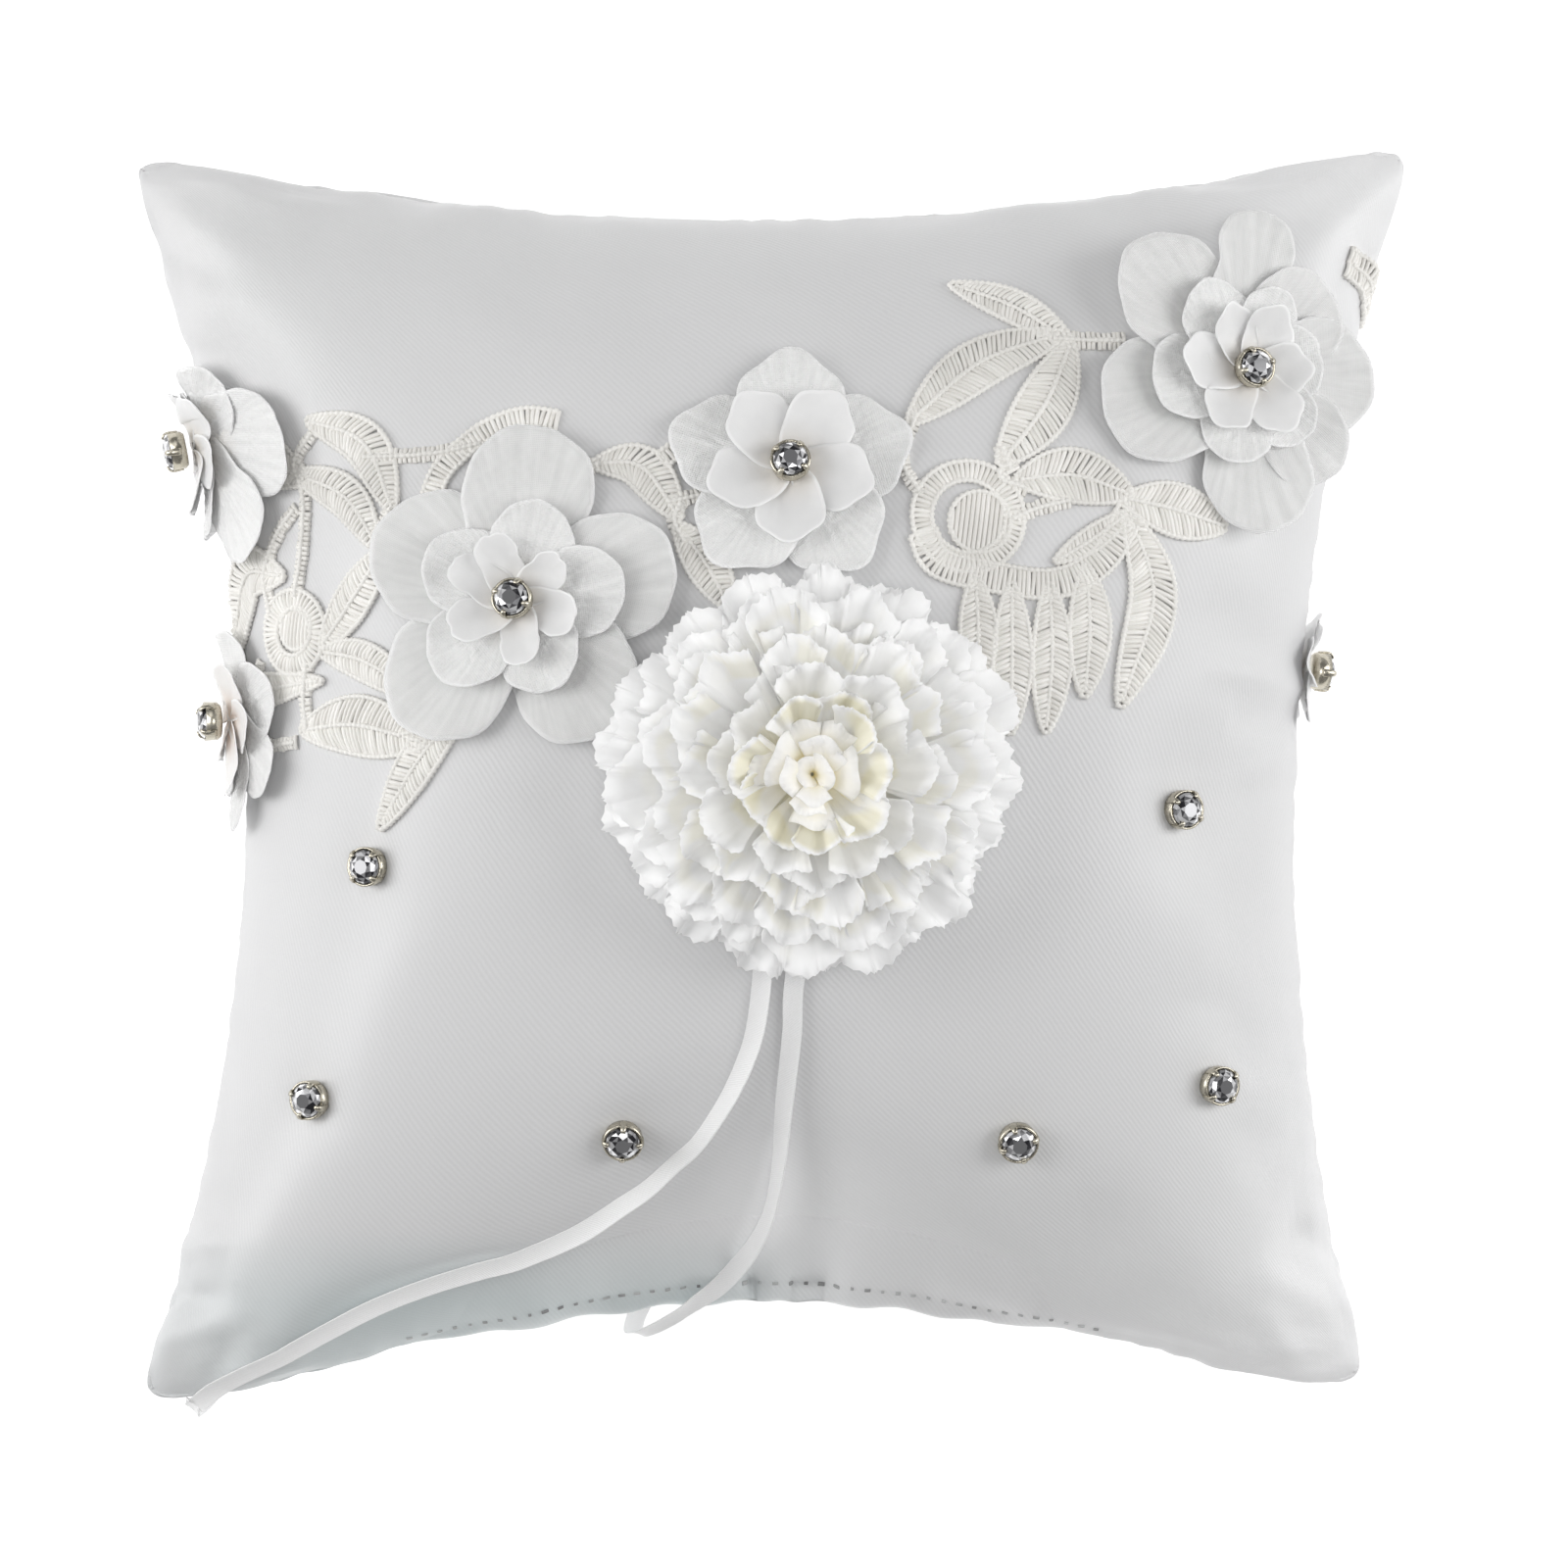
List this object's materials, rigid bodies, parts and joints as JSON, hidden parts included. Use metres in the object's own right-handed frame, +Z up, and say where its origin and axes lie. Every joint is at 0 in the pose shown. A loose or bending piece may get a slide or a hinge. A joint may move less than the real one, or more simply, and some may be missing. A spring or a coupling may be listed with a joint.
{
  "type": "ring bearer pillow",
  "caption": "Square satin ring cushion with corded lace, layered organza flowers, rhinestones, a carnation head and a narrow ribbon for tying the rings.",
  "frame": {"origin": "on the surface the cushion lies on, under the middle of its outline", "axes": "+X across the face to the right, +Y towards the top edge of the face, +Z up out of the decorated face"},
  "size_m": [0.1986, 0.199, 0.0914],
  "materials": {
    "satin": "white duchess satin, soft sheen, fine twill weave",
    "ribbon_satin": "narrow double-faced satin ribbon, silky sheen",
    "lace": "corded guipure embroidery, shiny ivory-white thread",
    "organza": "translucent white organza petals with sealed edges",
    "petal_satin": "pressed white satin petals, soft gloss",
    "petal_silk": "matt white artificial silk with frilled edges",
    "cream_silk": "matt cream artificial silk",
    "wadding": "white polyester fibre filling",
    "cup_metal": "bright plated cup with four claws, slightly warm",
    "crystal": "foil-backed faceted rhinestone, glittering"
  },
  "bodies": {
    "pillow": {"front_panel": "satin", "back_panel": "satin", "filling": "wadding", "closing_hem": "satin", "lace_left": "lace", "lace_middle": "lace", "lace_right": "lace", "lace_wrap_right": "lace", "ribbon_fold": "ribbon_satin", "ribbon_tail_left": "ribbon_satin", "ribbon_tail_right": "ribbon_satin", "rhinestone_1_cup": "cup_metal", "rhinestone_1_stone": "crystal", "rhinestone_2_cup": "cup_metal", "rhinestone_2_stone": "crystal", "rhinestone_3_cup": "cup_metal", "rhinestone_3_stone": "crystal", "rhinestone_4_cup": "cup_metal", "rhinestone_4_stone": "crystal", "rhinestone_5_cup": "cup_metal", "rhinestone_5_stone": "crystal", "rhinestone_6_cup": "cup_metal", "rhinestone_6_stone": "crystal"},
    "carnation": {"carnation_backing": "petal_silk", "carnation_layer_1": "petal_silk", "carnation_layer_2": "petal_silk", "carnation_layer_3": "petal_silk", "carnation_layer_4": "petal_silk", "carnation_layer_5": "petal_silk", "carnation_layer_6": "petal_silk", "carnation_layer_7": "petal_silk", "carnation_centre": "cream_silk"},
    "flower_left": {"flower_left_outer_petals": "organza", "flower_left_middle_petals": "organza", "flower_left_inner_petals": "petal_satin", "flower_left_cup": "cup_metal", "flower_left_stone": "crystal"},
    "flower_right": {"flower_right_outer_petals": "organza", "flower_right_middle_petals": "organza", "flower_right_inner_petals": "petal_satin", "flower_right_cup": "cup_metal", "flower_right_stone": "crystal"},
    "flower_middle": {"flower_middle_outer_petals": "organza", "flower_middle_inner_petals": "petal_satin", "flower_middle_cup": "cup_metal", "flower_middle_stone": "crystal"},
    "flower_side_upper": {"flower_side_upper_outer_petals": "organza", "flower_side_upper_inner_petals": "petal_satin", "flower_side_upper_cup": "cup_metal", "flower_side_upper_stone": "crystal"},
    "flower_side_lower": {"flower_side_lower_outer_petals": "organza", "flower_side_lower_inner_petals": "petal_satin", "flower_side_lower_cup": "cup_metal", "flower_side_lower_stone": "crystal"},
    "flower_side_right": {"flower_side_right_petals": "petal_satin", "flower_side_right_cup": "cup_metal", "flower_side_right_stone": "crystal"}
  },
  "joints": [
    {"name": "carnation_twist", "type": "hinge", "parent": "pillow", "child": "carnation", "pos_m": [0.0058, 0.0001, 0.06984], "axis": [0.0424, -0.0049, 0.9991], "range_deg": [-20, 20]},
    {"name": "flower_left_twist", "type": "hinge", "parent": "pillow", "child": "flower_left", "pos_m": [-0.0374, 0.0257, 0.06456], "axis": [-0.2068, 0.1106, 0.9721], "range_deg": [-12, 12]},
    {"name": "flower_middle_twist", "type": "hinge", "parent": "pillow", "child": "flower_middle", "pos_m": [0.0029, 0.0458, 0.06399], "axis": [0.0102, 0.2712, 0.9625], "range_deg": [-12, 12]},
    {"name": "flower_right_twist", "type": "hinge", "parent": "pillow", "child": "flower_right", "pos_m": [0.0714, 0.0614, 0.04932], "axis": [0.3626, 0.1246, 0.9236], "range_deg": [-8, 8]},
    {"name": "flower_side_upper_twist", "type": "hinge", "parent": "pillow", "child": "flower_side_upper", "pos_m": [-0.08815, 0.05175, 0.03329], "axis": [-0.9721, -0.1898, 0.1378], "range_deg": [-10, 10]},
    {"name": "flower_side_lower_twist", "type": "hinge", "parent": "pillow", "child": "flower_side_lower", "pos_m": [-0.08263, 0.0086, 0.03572], "axis": [-0.9695, -0.038, 0.2421], "range_deg": [-10, 10]},
    {"name": "flower_side_right_twist", "type": "hinge", "parent": "pillow", "child": "flower_side_right", "pos_m": [0.08328, 0.01666, 0.02886], "axis": [0.9709, -0.0792, -0.2259], "range_deg": [-10, 10]}
  ]
}
